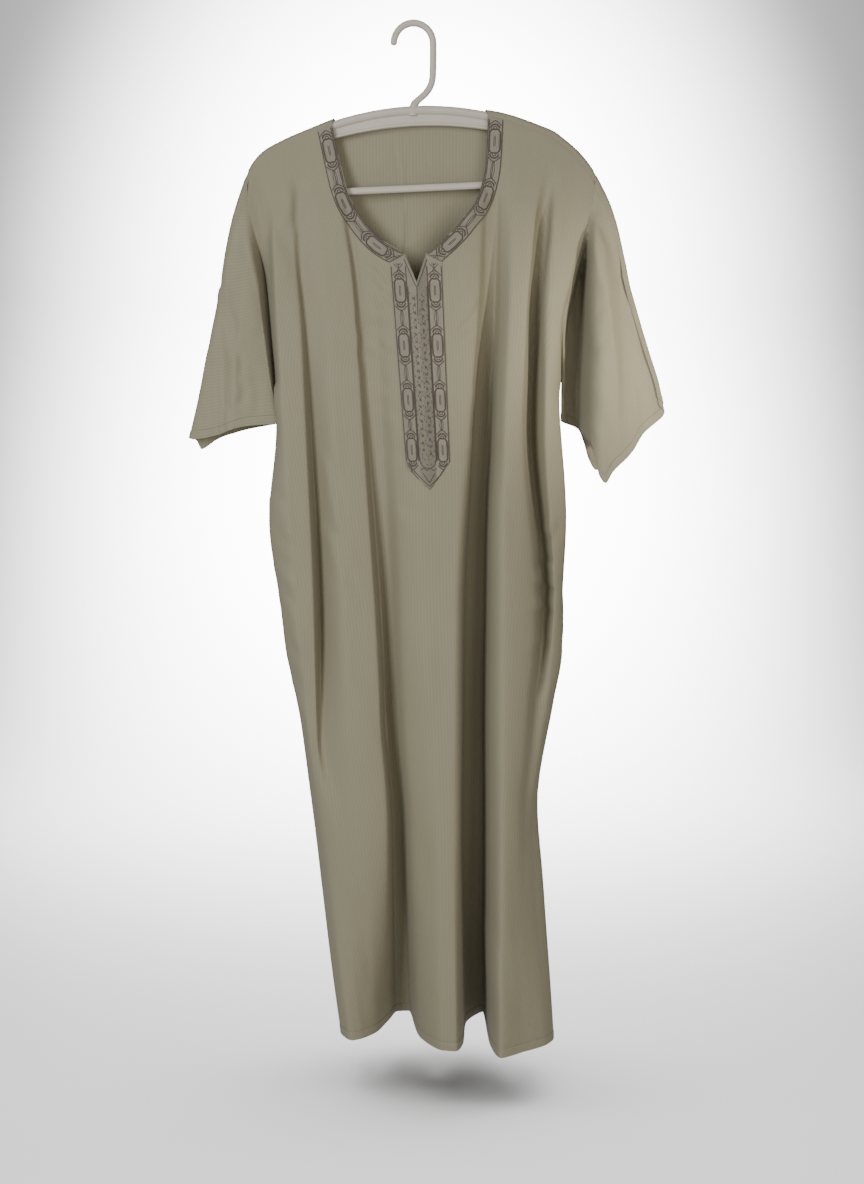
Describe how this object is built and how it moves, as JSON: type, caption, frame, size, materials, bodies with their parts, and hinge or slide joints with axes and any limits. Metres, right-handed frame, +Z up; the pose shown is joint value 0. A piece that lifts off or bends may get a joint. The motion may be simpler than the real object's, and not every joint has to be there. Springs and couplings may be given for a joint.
{
  "type": "thobe robe on a hanger",
  "caption": "Long short-sleeved robe with an embroidered round neck and placket, hanging in soft folds on a moulded hanger.",
  "frame": {"origin": "the top of the inside of the hanger's hook, where it bears on a rail", "axes": "+Z up, +X to the right as the robe is seen from its front, +Y from the front to the back"},
  "size_m": [0.636, 0.2053, 1.371],
  "materials": {
    "cloth": "soft satin with a fine self stripe",
    "embroidered_cloth": "cloth covered with embroidery",
    "hanger_plastic": "satin moulded"
  },
  "bodies": {
    "root": {"front_panel": "cloth", "back_panel": "cloth", "sleeve_left": "cloth", "sleeve_right": "cloth", "neck_band_left": "embroidered_cloth", "neck_band_right": "embroidered_cloth", "placket": "embroidered_cloth", "hanger": "hanger_plastic"}
  },
  "joints": []
}
